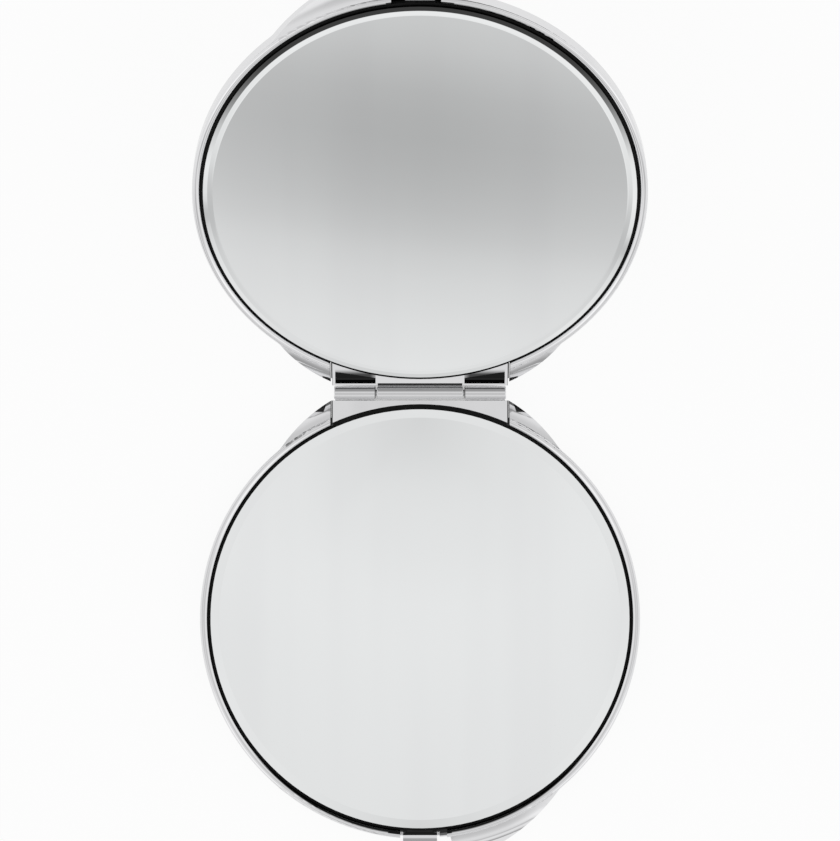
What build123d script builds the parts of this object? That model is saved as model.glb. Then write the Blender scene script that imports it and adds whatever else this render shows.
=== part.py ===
from build123d import *
from dataclasses import dataclass
from math import cos, radians, sin, sqrt
import os

# Compact mirror: two round metal halves on a three-knuckle hinge, each with a glass mirror
# Millimetres, +Z up. The base lies flat with its centre at the origin and the hinge towards +Y.
# Every piece is first drawn in its half's own frame: rim plane at Z 0, hinge towards +Y, front
# towards -Y. The base is then lifted, and the lid is turned over the hinge to its open angle.

# Body
BODY_RADIUS = 35.0
RIM_WIDTH = 1.20
RIM_ROUND = 0.46
RIM_INNER_ROUND = 0.70
CLOSED_GAP = 0.30
OPEN_TILT = 35.0

# Base half, outside and inside
BASE_FLANK_DEPTH = 2.0
BASE_FLOOR = 1.3
BASE_GLASS = 1.3
BASE_GLASS_DEPTH = 0.50
BASE_DECK = 0.7
BASE_CAVITY_TAPER = 1.5
BASE_CAVITY_TAPER_HEIGHT = 1.4

# Lid half, outside and inside
LID_SHOULDER_RADIUS = 0.8
LID_SHOULDER_LEAN = 38.0
LID_FLOOR = 0.9
LID_ROOM = 0.8
LID_GLASS = 1.35
LID_GLASS_DEPTH = 0.15
LID_DECK = 0.6
LID_CAVITY_TAPER = 2.6
LID_CAVITY_TAPER_HEIGHT = 1.5

# Mirrors, their foam pads and the black bead round them
GLASS_MARGIN = 0.47
GLASS_BEVEL_WIDTH = 1.3
GLASS_BEVEL_DROP = 0.03
GLASS_ARRIS = 0.15
PAD_THICKNESS = 0.4
PAD_MARGIN = 0.40
BEAD_RECESS = 0.50
BEAD_CLEARANCE = 0.03

# Trays
TRAY_FIT = 0.15
TRAY_SKIRT = 0.9
TRAY_RIB = 0.8
TRAY_RIB_ANGLES = (30.0, 90.0, 150.0, 210.0, 330.0)

# Lugs: a wing each side of the hinge and one finger lip at the front
LUG_OVERHANG = 3.4
LUG_ROOT = 3.0
LUG_TOP_DEPTH = 0.35
BASE_LUG_FALL = 2.8
BASE_LUG_CROWN = 0.6
BASE_LUG_TIP_DEPTH = 3.6
BASE_LUG_ROOT_DEPTH = 5.2
LID_LUG_FALL = 1.3
LID_LUG_CROWN = 0.3
LID_LUG_TIP_DEPTH = 2.2
LID_LUG_ROOT_DEPTH = 3.1
WING_BLEND = 2.5
LIP_CORNER_ROUND = 1.0
LIP_BEND_ROUND = 4.0
CORNER_PICK = 0.5

# Outline points as shares of the body radius
WING_MID_SHARES = (0.5314, 0.8957)
WING_END_SHARES = (0.6400, 0.7643)
LIP_START_SHARES = (0.1257, 0.9429)
LIP_CORNER_SHARES = (0.1514, 1.0400)
LIP_TOP_SHARES = (0.2714, 1.0500)
LIP_BEND_SHARES = (0.3829, 1.0171)

# Hinge
HINGE_OFFSET = 1.0
HINGE_FLAT_INSET = 0.27
KNUCKLE_RADIUS = 1.03
CENTRE_KNUCKLE_HALF = 6.85
OUTER_KNUCKLE_LENGTH = 6.60
KNUCKLE_GAP = 0.20
KNUCKLE_ROUND = 0.15
WEB_TOP_DROP = 0.40
WEB_BITE = 0.20
PIN_RADIUS = 0.50
PIN_RUNNING_CLEARANCE = 0.05
PIN_FIXED_CLEARANCE = 0.02
PIN_END_RECESS = 0.10
BLOCK_END = 0.28
BLOCK_SEAM = 0.25
BLOCK_FOOT = 0.19
BLOCK_FOOT_DEPTH = 1.6
BLOCK_LID_CHAMFER = 1.2
BASE_GROOVE_WIDENING = 0.35
LID_GROOVE_NARROWING = 0.27
TAB_CHAMFER_WIDTH = 0.40
TAB_CHAMFER_DEPTH = 0.50

# Pockets in the lid's block, over the outer knuckles
POCKET_LIP = 0.36
POCKET_INNER_WIDTH = 1.05
POCKET_OUTER_WIDTH = 2.25
POCKET_DEPTH = 0.42
POCKET_END_INSET = 0.22

# Front notches
NOTCH_CLEARANCE = 0.45
NOTCH_LUG_CLEARANCE = 1.6
NOTCH_FLOOR_GAP = 0.05

# Push button
BUTTON_HALF_WIDTH = 2.7
BUTTON_BACK_INSET = 0.6
BUTTON_NOSE_REACH = 0.12
BUTTON_NECK_CUT = 0.32
BUTTON_FACE_REACH = 1.3
BUTTON_TOP_DEPTH = 0.25
BUTTON_NOSE_DEPTH = 0.80
BUTTON_CAP_DEPTH = 1.50
BUTTON_FLOOR_GAP = 0.35
BUTTON_ROUND = 0.45
BUTTON_TRAVEL = 0.4
SLIDER_HALF_WIDTH = 2.0
SLIDER_LENGTH = 4.8
SLIDER_THICKNESS = 1.1
SLIDER_CLEARANCE = 0.15
EAR_STOP_WIDTH = 0.75
EAR_LENGTH = 0.9
CHANNEL_WALL = 0.8

# Button spring
SPRING_OUTER_RADIUS = 0.55
SPRING_WIRE_RADIUS = 0.10
SPRING_LENGTH = 3.2
SPRING_TURNS = 5
SPRING_POST_RADIUS = 0.32
SPRING_POST_LENGTH = 1.4
SPRING_SEAT_GAP = 0.03

# Lid catch, a bent steel strip as thick as the pad that it passes through
CATCH_HALF_WIDTH = 2.2
CATCH_FOOT_LENGTH = 8.0
CATCH_HOOK_GAP = 0.47
CATCH_BARB_GAP = 0.12
CATCH_BARB_HEIGHT = 0.35
CATCH_TIP_RISE = 1.5
CATCH_BEND_RADIUS = 0.3
CATCH_PAD_CLEARANCE = 0.3

# Tray screws
SCREW_INSET = 11.0
SCREW_COUNT = 4
SCREW_START_ANGLE = 45.0
SCREW_RADIUS = 0.60
SCREW_HEAD_RADIUS = 1.25
SCREW_HEAD_HEIGHT = 0.45
SCREW_CLEARANCE = 0.02
SCREW_SLOT_WIDTH = 0.3
SCREW_SLOT_DEPTH = 0.2
SCREW_BITE = 0.5
BOSS_RADIUS = 1.9

# One overrun for every cut
OVERRUN = 1.0

# Radii and reaches from the disc axis, worked out from the sizes above
RIM_INNER_RADIUS = BODY_RADIUS - RIM_WIDTH
GLASS_RADIUS = RIM_INNER_RADIUS - GLASS_MARGIN
PAD_RADIUS = RIM_INNER_RADIUS - PAD_MARGIN
LUG_REACH = BODY_RADIUS + LUG_OVERHANG
HINGE_REACH = BODY_RADIUS + HINGE_OFFSET
HINGE_FLAT = BODY_RADIUS - HINGE_FLAT_INSET
SCREW_CIRCLE = BODY_RADIUS - SCREW_INSET
BUTTON_BACK = BODY_RADIUS - BUTTON_BACK_INSET
BUTTON_NOSE = BODY_RADIUS + BUTTON_NOSE_REACH
BUTTON_NECK = BUTTON_NOSE - BUTTON_NECK_CUT
BUTTON_FACE = BODY_RADIUS + BUTTON_FACE_REACH
SLIDER_END = BUTTON_BACK - SLIDER_LENGTH
SPRING_SEAT = SLIDER_END - SPRING_LENGTH - SPRING_SEAT_GAP
CATCH_FOOT_END = BODY_RADIUS - CATCH_FOOT_LENGTH
CATCH_HOOK_INNER = BUTTON_NOSE + CATCH_HOOK_GAP
CATCH_BARB_TIP = BUTTON_NOSE + CATCH_BARB_GAP

# Half widths along the hinge and the front notch
KNUCKLE_OUTER_START = CENTRE_KNUCKLE_HALF + KNUCKLE_GAP
OUTER_KNUCKLE_END = KNUCKLE_OUTER_START + OUTER_KNUCKLE_LENGTH
BLOCK_HALF = OUTER_KNUCKLE_END + BLOCK_END
HINGE_NOTCH_HALF = BLOCK_HALF + BLOCK_SEAM
NOTCH_HALF = BUTTON_HALF_WIDTH + NOTCH_CLEARANCE
NOTCH_LUG_SIDE = BUTTON_HALF_WIDTH + NOTCH_LUG_CLEARANCE
EAR_HALF_WIDTH = NOTCH_HALF + EAR_STOP_WIDTH


@dataclass(frozen=True)
class Half:
    """Depths and radii of one half, measured from its rim plane and its disc axis."""

    glass: float
    glass_depth: float
    deck: float
    room: float
    floor: float
    taper: float
    taper_height: float
    lug_fall: float
    lug_crown: float
    lug_tip_depth: float
    lug_root_depth: float
    groove_radius: float

    @property
    def glass_bottom(self):
        return self.glass_depth + self.glass

    @property
    def bead_top(self):
        return self.glass_depth + BEAD_RECESS

    @property
    def deck_top(self):
        return self.glass_bottom + PAD_THICKNESS

    @property
    def deck_bottom(self):
        return self.deck_top + self.deck

    @property
    def floor_depth(self):
        return self.deck_bottom + self.room

    @property
    def height(self):
        return self.floor_depth + self.floor

    @property
    def hinge_notch_depth(self):
        return self.deck_bottom + TRAY_FIT

    def cavity_radius(self, depth):
        knee = self.floor_depth - self.taper_height
        fall = max(depth - knee, 0) / self.taper_height
        return RIM_INNER_RADIUS - self.taper * fall


BASE = Half(
    glass=BASE_GLASS,
    glass_depth=BASE_GLASS_DEPTH,
    deck=BASE_DECK,
    room=SLIDER_THICKNESS + 2 * SLIDER_CLEARANCE,
    floor=BASE_FLOOR,
    taper=BASE_CAVITY_TAPER,
    taper_height=BASE_CAVITY_TAPER_HEIGHT,
    lug_fall=BASE_LUG_FALL,
    lug_crown=BASE_LUG_CROWN,
    lug_tip_depth=BASE_LUG_TIP_DEPTH,
    lug_root_depth=BASE_LUG_ROOT_DEPTH,
    groove_radius=RIM_INNER_RADIUS + BASE_GROOVE_WIDENING,
)
LID = Half(
    glass=LID_GLASS,
    glass_depth=LID_GLASS_DEPTH,
    deck=LID_DECK,
    room=LID_ROOM,
    floor=LID_FLOOR,
    taper=LID_CAVITY_TAPER,
    taper_height=LID_CAVITY_TAPER_HEIGHT,
    lug_fall=LID_LUG_FALL,
    lug_crown=LID_LUG_CROWN,
    lug_tip_depth=LID_LUG_TIP_DEPTH,
    lug_root_depth=LID_LUG_ROOT_DEPTH,
    groove_radius=RIM_INNER_RADIUS - LID_GROOVE_NARROWING,
)

# Heights of the hinge axis, of the front notch and of the button's slider
HALF_GAP = CLOSED_GAP / 2
AXIS_HEIGHT = BASE.height + HALF_GAP
FRONT_NOTCH_DEPTH = LID.deck_top + NOTCH_FLOOR_GAP
SLIDER_BOTTOM = BASE.floor_depth - SLIDER_CLEARANCE
EAR_FRONT = sqrt(BASE.cavity_radius(SLIDER_BOTTOM) ** 2 - EAR_HALF_WIDTH**2) - SLIDER_CLEARANCE


def span_box(x_low, x_high, y_low, y_high, z_low, z_high):
    """A box between two corners."""
    size = Box(x_high - x_low, y_high - y_low, z_high - z_low)
    return Pos((x_low + x_high) / 2, (y_low + y_high) / 2, (z_low + z_high) / 2) * size


def depth_disc(radius, top_depth, bottom_depth):
    """A disc on the half's axis between two depths under its rim plane."""
    middle = (top_depth + bottom_depth) / 2
    return Pos(0, 0, -middle) * Cylinder(radius, bottom_depth - top_depth)


def spin_profile(edges):
    """A solid of revolution about the half's axis, from a closed profile in the XZ plane."""
    return revolve(make_face(Plane.XZ * edges), axis=Axis.Z)


def arc_point(centre, radius, angle):
    """A point on a circle, with its angle below the horizontal."""
    return (centre[0] + radius * cos(radians(angle)), centre[1] - radius * sin(radians(angle)))


# Shells


def rim_edges():
    """The rim's land and its rounded outer edge, from the disc axis outwards."""
    land = (BODY_RADIUS - RIM_ROUND, 0)
    side = (BODY_RADIUS, -RIM_ROUND)
    bulge = arc_point((BODY_RADIUS - RIM_ROUND, -RIM_ROUND), RIM_ROUND, -45)
    return Line((0, 0), land) + ThreePointArc(land, bulge, side)


def base_disc():
    """The base's outside: a short upright side over a rounded edge and a flat rest face."""
    edge = BASE.height - BASE_FLANK_DEPTH
    centre = (BODY_RADIUS - edge, -BASE_FLANK_DEPTH)
    side = (BODY_RADIUS, -BASE_FLANK_DEPTH)
    flat = (centre[0], -BASE.height)
    outline = rim_edges() + Line((BODY_RADIUS, -RIM_ROUND), side)
    outline += ThreePointArc(side, arc_point(centre, edge, 45), flat)
    outline += Polyline(flat, (0, -BASE.height), (0, 0))
    return spin_profile(outline)


def lid_disc():
    """The lid's outside: a pebble whose side leans in at once and runs into a flat back."""
    lean = LID_SHOULDER_LEAN
    shoulder = (BODY_RADIUS - LID_SHOULDER_RADIUS, -RIM_ROUND)
    start = (BODY_RADIUS, -RIM_ROUND)
    turn = arc_point(shoulder, LID_SHOULDER_RADIUS, lean)
    crown = (LID.height + turn[1]) / (1 - sin(radians(lean)))
    centre = (turn[0] - crown * cos(radians(lean)), turn[1] + crown * sin(radians(lean)))
    flat = (centre[0], -LID.height)
    outline = rim_edges()
    outline += ThreePointArc(start, arc_point(shoulder, LID_SHOULDER_RADIUS, lean / 2), turn)
    outline += ThreePointArc(turn, arc_point(centre, crown, (90 + lean) / 2), flat)
    outline += Polyline(flat, (0, -LID.height), (0, 0))
    return spin_profile(outline)


def shared(shares, side=1, front=1):
    """A plan point from its shares of the body radius."""
    return (side * shares[0] * BODY_RADIUS, front * shares[1] * BODY_RADIUS)


def wing_outline():
    """Plan of the wing right of the hinge, from the hinge notch back into the rim."""
    corner = (HINGE_NOTCH_HALF, HINGE_FLAT)
    end = shared(WING_END_SHARES)
    sweep_arc = ThreePointArc(corner, shared(WING_MID_SHARES), end)
    inner = Polyline(end, (corner[0], end[1]), corner)
    return make_face(sweep_arc + inner)


def lip_outline():
    """Plan of the finger lip at the front, right of the notch."""
    start = shared(LIP_START_SHARES, front=-1)
    corner = shared(LIP_CORNER_SHARES, front=-1)
    bend = shared(LIP_BEND_SHARES, front=-1)
    end = shared(WING_END_SHARES, front=-1)
    outline = Line(start, corner)
    outline += ThreePointArc(corner, shared(LIP_TOP_SHARES, front=-1), bend)
    outline += ThreePointArc(bend, shared(WING_MID_SHARES, front=-1), end)
    outline += Polyline(end, (start[0], end[1]), start)
    return make_face(outline)


def on_plan(edge, share_points):
    """Whether an upright edge stands at one of the plan points."""
    middle = edge.center()
    return any(
        sqrt((abs(middle.X) - x) ** 2 + (middle.Y - y) ** 2) < CORNER_PICK for x, y in share_points
    )


def plan_column(half):
    """One half's plan as a column: rim circle, wings and lip, with blended corners."""
    wing = wing_outline()
    plan = Circle(BODY_RADIUS) + wing + mirror(wing, about=Plane.YZ) + lip_outline()
    column = Pos(0, 0, -half.height) * extrude(plan, half.height)
    uprights = column.edges().filter_by(Axis.Z)
    roots = [shared(WING_END_SHARES), shared(WING_END_SHARES, front=-1)]
    column = fillet([edge for edge in uprights if on_plan(edge, roots)], WING_BLEND)
    uprights = column.edges().filter_by(Axis.Z)
    bend = [shared(LIP_BEND_SHARES, front=-1)]
    column = fillet([edge for edge in uprights if on_plan(edge, bend)], LIP_BEND_ROUND)
    uprights = column.edges().filter_by(Axis.Z)
    corner = [shared(LIP_CORNER_SHARES, front=-1)]
    return fillet([edge for edge in uprights if on_plan(edge, corner)], LIP_CORNER_ROUND)


def lug_ring(half):
    """The wings and the lip come from this ring, which curves down to its tip."""
    root = BODY_RADIUS - LUG_ROOT
    start = (BODY_RADIUS - RIM_ROUND / 2, -LUG_TOP_DEPTH)
    tip = (LUG_REACH, start[1] - half.lug_fall)
    span = (tip[0] - start[0], tip[1] - start[1])
    lift = half.lug_crown / sqrt(span[0] ** 2 + span[1] ** 2)
    crown = (
        start[0] + span[0] / 2 - lift * span[1],
        start[1] + span[1] / 2 + lift * span[0],
    )
    outline = Line((root, start[1]), start) + ThreePointArc(start, crown, tip)
    outline += Polyline(
        tip,
        (LUG_REACH, -half.lug_tip_depth),
        (root, -half.lug_root_depth),
        (root, start[1]),
    )
    return spin_profile(outline)


def shell_cavity(half):
    """The room inside a shell: a rounded mouth, a straight wall and a tapered foot."""
    mouth = (RIM_INNER_RADIUS + RIM_INNER_ROUND, 0)
    wall = (RIM_INNER_RADIUS, -RIM_INNER_ROUND)
    bulge = (
        mouth[0] - RIM_INNER_ROUND * sin(radians(45)),
        wall[1] + RIM_INNER_ROUND * sin(radians(45)),
    )
    knee = (RIM_INNER_RADIUS, -(half.floor_depth - half.taper_height))
    foot = (half.cavity_radius(half.floor_depth), -half.floor_depth)
    outline = Polyline((0, OVERRUN), (mouth[0], OVERRUN), mouth)
    outline += ThreePointArc(mouth, bulge, wall)
    outline += Polyline(wall, knee, foot, (0, -half.floor_depth), (0, OVERRUN))
    return spin_profile(outline)


def screw_places():
    """Where the tray screws stand, in plan."""
    return PolarLocations(SCREW_CIRCLE, SCREW_COUNT, start_angle=SCREW_START_ANGLE)


def screw_bosses(half):
    """Bosses on the shell's floor, each with a blind pilot hole."""
    hole_bottom = half.floor_depth + SCREW_BITE + SCREW_CLEARANCE
    boss = depth_disc(BOSS_RADIUS, half.deck_bottom, half.floor_depth)
    hole = depth_disc(SCREW_RADIUS + SCREW_CLEARANCE, half.deck_bottom - OVERRUN, hole_bottom)
    bosses = [place * boss for place in screw_places()]
    holes = [place * hole for place in screw_places()]
    return bosses, holes


def hinge_notch(half):
    """The notch that the tray's hinge block fills, and the flat behind it."""
    foot = half.cavity_radius(half.floor_depth)
    inner = sqrt(foot**2 - HINGE_NOTCH_HALF**2) - OVERRUN
    reach = LUG_REACH + OVERRUN
    wide = HINGE_NOTCH_HALF
    notch = span_box(-wide, wide, inner, reach, -half.hinge_notch_depth, OVERRUN)
    return notch + span_box(-wide, wide, HINGE_FLAT, reach, -half.height - OVERRUN, OVERRUN)


def front_notch():
    """The opening through the rim for the catch, wider towards the lip."""
    inner = RIM_INNER_RADIUS - OVERRUN
    reach = LUG_REACH + OVERRUN
    return span_box(-NOTCH_HALF, NOTCH_LUG_SIDE, -reach, -inner, -FRONT_NOTCH_DEPTH, OVERRUN)


def button_notch():
    """The deeper opening in the base's wall for the button and its slider."""
    inner = BASE.cavity_radius(BASE.floor_depth) - OVERRUN
    reach = LUG_REACH + OVERRUN
    return span_box(-NOTCH_HALF, NOTCH_HALF, -reach, -inner, -BASE.floor_depth, OVERRUN)


def shell(half, disc):
    """One outer shell: disc and lugs, hollowed, with the hinge and front notches cut out."""
    body = disc + (plan_column(half) & lug_ring(half))
    bosses, holes = screw_bosses(half)
    body = body - shell_cavity(half)
    body = body + bosses - holes
    return body - hinge_notch(half) - front_notch()


def base_shell():
    """The base's shell, with the button's notch through its wall."""
    return shell(BASE, base_disc()) - button_notch()


def lid_shell():
    """The lid's shell."""
    return shell(LID, lid_disc())


# Mirrors, pads and beads


def mirror_glass(half):
    """A round glass with a bevelled front edge and a small arris at the back."""
    points = [
        (0, -half.glass_depth),
        (GLASS_RADIUS - GLASS_BEVEL_WIDTH, -half.glass_depth),
        (GLASS_RADIUS, -half.glass_depth - GLASS_BEVEL_DROP),
        (GLASS_RADIUS, -half.glass_bottom + GLASS_ARRIS),
        (GLASS_RADIUS - GLASS_ARRIS, -half.glass_bottom),
        (0, -half.glass_bottom),
    ]
    return spin_profile(Polyline(*points, close=True))


def mirror_pad(half):
    """The foam disc that holds the glass to the tray."""
    return depth_disc(PAD_RADIUS, half.glass_bottom, half.deck_top)


def block_room(side):
    """The room over a hinge block, as far as a half width along the hinge."""
    return span_box(-side, side, GLASS_RADIUS / 2, LUG_REACH, -BASE.deck_top, 0)


def mirror_bead(half):
    """The black bead in the groove round the glass, wider or left out at the hinge block."""
    outer = RIM_INNER_RADIUS - BEAD_CLEARANCE
    inner = GLASS_RADIUS + BEAD_CLEARANCE
    bead = depth_disc(outer, half.bead_top, half.glass_bottom)
    wide = half.groove_radius - BEAD_CLEARANCE
    if wide > outer:
        filler = depth_disc(wide, half.bead_top, half.glass_bottom)
        bead += filler & block_room(BLOCK_HALF - TRAY_FIT)
    else:
        bead -= block_room(BLOCK_HALF + TRAY_FIT)
    return bead - depth_disc(inner, half.bead_top - OVERRUN, half.glass_bottom + OVERRUN)


def catch_pad(half):
    """The lid's pad, cut away round the catch's foot."""
    side = CATCH_HALF_WIDTH + CATCH_PAD_CLEARANCE
    foot = span_box(
        -side,
        side,
        -PAD_RADIUS - OVERRUN,
        -CATCH_FOOT_END + CATCH_PAD_CLEARANCE,
        -half.deck_top - OVERRUN,
        0,
    )
    return mirror_pad(half) - foot


# Trays


def tray_plate(half):
    """Deck, tapered skirt and ribs of a tray, without its hinge block."""
    foot = half.cavity_radius(half.floor_depth) - TRAY_FIT
    knee_depth = half.floor_depth - half.taper_height
    depths = [half.deck_top, knee_depth] if knee_depth > half.deck_top else [half.deck_top]
    side = [(half.cavity_radius(depth) - TRAY_FIT, -depth) for depth in depths]
    points = [(0, -half.deck_top), *side, (foot, -half.floor_depth), (0, -half.floor_depth)]
    plate = spin_profile(Polyline(*points, close=True))
    room = foot - TRAY_SKIRT
    hollow = depth_disc(room, half.deck_bottom, half.floor_depth + OVERRUN)
    rib = span_box(
        0,
        room + TRAY_SKIRT / 2,
        -TRAY_RIB / 2,
        TRAY_RIB / 2,
        -half.floor_depth - OVERRUN,
        -half.deck_bottom,
    )
    for angle in TRAY_RIB_ANGLES:
        hollow -= Rot(0, 0, angle) * rib
    return plate - hollow


def screw_seats(half):
    """Countersunk holes through the deck."""
    hole_radius = SCREW_RADIUS + TRAY_FIT
    hole = depth_disc(hole_radius, half.deck_top - OVERRUN, half.deck_bottom + OVERRUN)
    sink_top = SCREW_HEAD_RADIUS + SCREW_CLEARANCE
    sink = Pos(0, 0, -half.deck_top - SCREW_HEAD_HEIGHT / 2) * Cone(
        SCREW_RADIUS + SCREW_CLEARANCE, sink_top, SCREW_HEAD_HEIGHT
    )
    return [place * (hole + sink) for place in screw_places()]


def hinge_block(half):
    """The tray's block with its wider foot, hollowed for the groove round the glass."""
    low = half.hinge_notch_depth - TRAY_FIT
    inner = sqrt(GLASS_RADIUS**2 - BLOCK_HALF**2)
    foot = BLOCK_HALF + BLOCK_FOOT
    block = span_box(-BLOCK_HALF, BLOCK_HALF, inner, HINGE_FLAT, -low, 0)
    block += span_box(-foot, foot, inner, HINGE_FLAT, -low, -BLOCK_FOOT_DEPTH)
    return block - depth_disc(half.groove_radius, -OVERRUN, half.deck_top)


def knuckle(x_low, x_high, clearance):
    """One knuckle with its web into the block, bored for the pin."""
    length = x_high - x_low
    barrel = Rot(0, 90, 0) * Cylinder(KNUCKLE_RADIUS, length)
    barrel = fillet(barrel.edges(), KNUCKLE_ROUND)
    web_reach = HINGE_REACH - HINGE_FLAT + WEB_BITE
    half_web = length / 2 - KNUCKLE_ROUND
    web = span_box(-half_web, half_web, -web_reach, 0, -KNUCKLE_RADIUS, -WEB_TOP_DROP)
    bore = Rot(0, 90, 0) * Cylinder(PIN_RADIUS + clearance, length + OVERRUN)
    return Pos((x_low + x_high) / 2, HINGE_REACH, HALF_GAP) * (barrel + web - bore)


def outer_knuckles():
    """The base's two knuckles."""
    right = knuckle(KNUCKLE_OUTER_START, OUTER_KNUCKLE_END, PIN_FIXED_CLEARANCE)
    left = knuckle(-OUTER_KNUCKLE_END, -KNUCKLE_OUTER_START, PIN_FIXED_CLEARANCE)
    return [right, left]


def button_channel_cut():
    """Room under the base's deck for the slider, its ears and the spring."""
    low = -BASE.floor_depth - OVERRUN
    slider_side = SLIDER_HALF_WIDTH + SLIDER_CLEARANCE
    ear_side = EAR_HALF_WIDTH + SLIDER_CLEARANCE
    spring_side = SPRING_OUTER_RADIUS + SLIDER_CLEARANCE
    ear_back = EAR_FRONT - EAR_LENGTH - BUTTON_TRAVEL - SLIDER_CLEARANCE
    slider_back = SLIDER_END - BUTTON_TRAVEL - SLIDER_CLEARANCE
    top = -BASE.deck_bottom
    room = span_box(-ear_side, ear_side, -BODY_RADIUS, -ear_back, low, top)
    room += span_box(-slider_side, slider_side, -ear_back, -slider_back, low, top)
    return room + span_box(-spring_side, spring_side, -slider_back, -SPRING_SEAT, low, top)


def button_channel_walls():
    """Walls round the button's channel, under the base's deck."""
    side = EAR_HALF_WIDTH + SLIDER_CLEARANCE + CHANNEL_WALL
    back = SPRING_SEAT - CHANNEL_WALL
    front = BASE.cavity_radius(BASE.floor_depth) - TRAY_FIT - TRAY_SKIRT / 2
    return span_box(-side, side, -front, -back, -BASE.floor_depth, -BASE.deck_bottom)


def base_tray():
    """The base's tray: plate, hinge block, two outer knuckles and the button's channel."""
    tray = tray_plate(BASE) + hinge_block(BASE) + outer_knuckles() + button_channel_walls()
    return tray - screw_seats(BASE) - button_channel_cut()


def pocket_cut():
    """One pocket in the lid's block: deep at the lip, sloping up towards the glass."""
    outer = OUTER_KNUCKLE_END - POCKET_END_INSET
    lip = HINGE_FLAT - POCKET_LIP
    plan = Polyline(
        (KNUCKLE_OUTER_START, lip),
        (outer, lip),
        (outer, lip - POCKET_OUTER_WIDTH),
        (KNUCKLE_OUTER_START, lip - POCKET_INNER_WIDTH),
        close=True,
    )
    column = Pos(0, 0, -POCKET_DEPTH) * extrude(make_face(plan), POCKET_DEPTH + OVERRUN)
    ramp = Polyline(
        (lip, -POCKET_DEPTH),
        (lip, OVERRUN),
        (lip - POCKET_OUTER_WIDTH, OVERRUN),
        (lip - POCKET_OUTER_WIDTH, 0),
        close=True,
    )
    return column & extrude(Plane.YZ * make_face(ramp), outer)


def lid_tray():
    """The lid's tray: plate, hinge block with two pockets, and the centre knuckle."""
    block = hinge_block(LID)
    low_edge = block.edges().filter_by(Axis.X).group_by(Axis.Y)[-1].sort_by(Axis.Z)[0]
    block = chamfer(low_edge, BLOCK_LID_CHAMFER)
    pocket = pocket_cut()
    block = block - pocket - mirror(pocket, about=Plane.YZ)
    tab = Polyline(
        (HINGE_FLAT, 0),
        (HINGE_FLAT - TAB_CHAMFER_WIDTH, 0),
        (HINGE_FLAT, -TAB_CHAMFER_DEPTH),
        close=True,
    )
    edge_cut = extrude(Plane.YZ * make_face(tab), CENTRE_KNUCKLE_HALF, both=True)
    centre = knuckle(-CENTRE_KNUCKLE_HALF, CENTRE_KNUCKLE_HALF, PIN_RUNNING_CLEARANCE)
    tray = tray_plate(LID) + (block - edge_cut) + centre
    return tray - screw_seats(LID)


def tray_screw(half):
    """A small countersunk screw on the half's axis, from the deck into a boss."""
    tip = half.floor_depth + SCREW_BITE
    shank = depth_disc(SCREW_RADIUS, half.deck_top + SCREW_HEAD_HEIGHT / 2, tip)
    head = Pos(0, 0, -half.deck_top - SCREW_HEAD_HEIGHT / 2) * Cone(
        SCREW_RADIUS, SCREW_HEAD_RADIUS, SCREW_HEAD_HEIGHT
    )
    slot = Pos(0, 0, -half.deck_top) * Box(
        SCREW_HEAD_RADIUS * 2, SCREW_SLOT_WIDTH, SCREW_SLOT_DEPTH * 2
    )
    return shank + head - slot


# Hinge pin, button, spring and catch


def hinge_pin():
    """The pin through all three knuckles, a little short of their ends."""
    length = 2 * (OUTER_KNUCKLE_END - PIN_END_RECESS)
    return Pos(0, HINGE_REACH, HALF_GAP) * Rot(0, 90, 0) * Cylinder(PIN_RADIUS, length)


def push_button():
    """Button with a finger cap, a latch nose over it, and a slider with stop ears."""
    bottom = SLIDER_BOTTOM - BUTTON_FLOOR_GAP + SLIDER_CLEARANCE
    profile = Polyline(
        (-BUTTON_BACK, -bottom),
        (-BUTTON_BACK, -BUTTON_TOP_DEPTH),
        (-BUTTON_NOSE, -BUTTON_TOP_DEPTH),
        (-BUTTON_NOSE, -BUTTON_NOSE_DEPTH),
        (-BUTTON_NECK, -BUTTON_NOSE_DEPTH),
        (-BUTTON_NECK, -BUTTON_CAP_DEPTH),
        (-BUTTON_FACE, -BUTTON_CAP_DEPTH),
        (-BUTTON_FACE, -bottom),
        close=True,
    )
    cap = extrude(Plane.YZ * make_face(profile), BUTTON_HALF_WIDTH, both=True)
    front = cap.faces().sort_by(Axis.Y)[0]
    cap = fillet(front.edges(), BUTTON_ROUND)
    low = -SLIDER_BOTTOM
    high = low + SLIDER_THICKNESS
    slider = span_box(
        -SLIDER_HALF_WIDTH, SLIDER_HALF_WIDTH, -BUTTON_NECK, -SLIDER_END, low, high
    )
    ears = span_box(
        -EAR_HALF_WIDTH, EAR_HALF_WIDTH, -EAR_FRONT, -(EAR_FRONT - EAR_LENGTH), low, high
    )
    post = Cylinder(SPRING_POST_RADIUS, SPRING_POST_LENGTH)
    post_y = -SLIDER_END + SPRING_POST_LENGTH / 2
    post = Pos(0, post_y, (low + high) / 2) * Rot(90, 0, 0) * post
    return cap + slider + ears + post


def button_spring():
    """The coil behind the slider, on its post."""
    middle = SLIDER_THICKNESS / 2 - SLIDER_BOTTOM
    coil_radius = SPRING_OUTER_RADIUS - SPRING_WIRE_RADIUS
    rise = SPRING_LENGTH - 2 * (SPRING_WIRE_RADIUS + SPRING_SEAT_GAP)
    path = Helix(rise / SPRING_TURNS, rise, coil_radius)
    wire = Plane(path @ 0, z_dir=path % 0) * Circle(SPRING_WIRE_RADIUS)
    coil = sweep(wire, path=path, is_frenet=True)
    start = -SLIDER_END + SPRING_WIRE_RADIUS + SPRING_SEAT_GAP
    return Pos(0, start, middle) * Rot(-90, 0, 0) * coil


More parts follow.
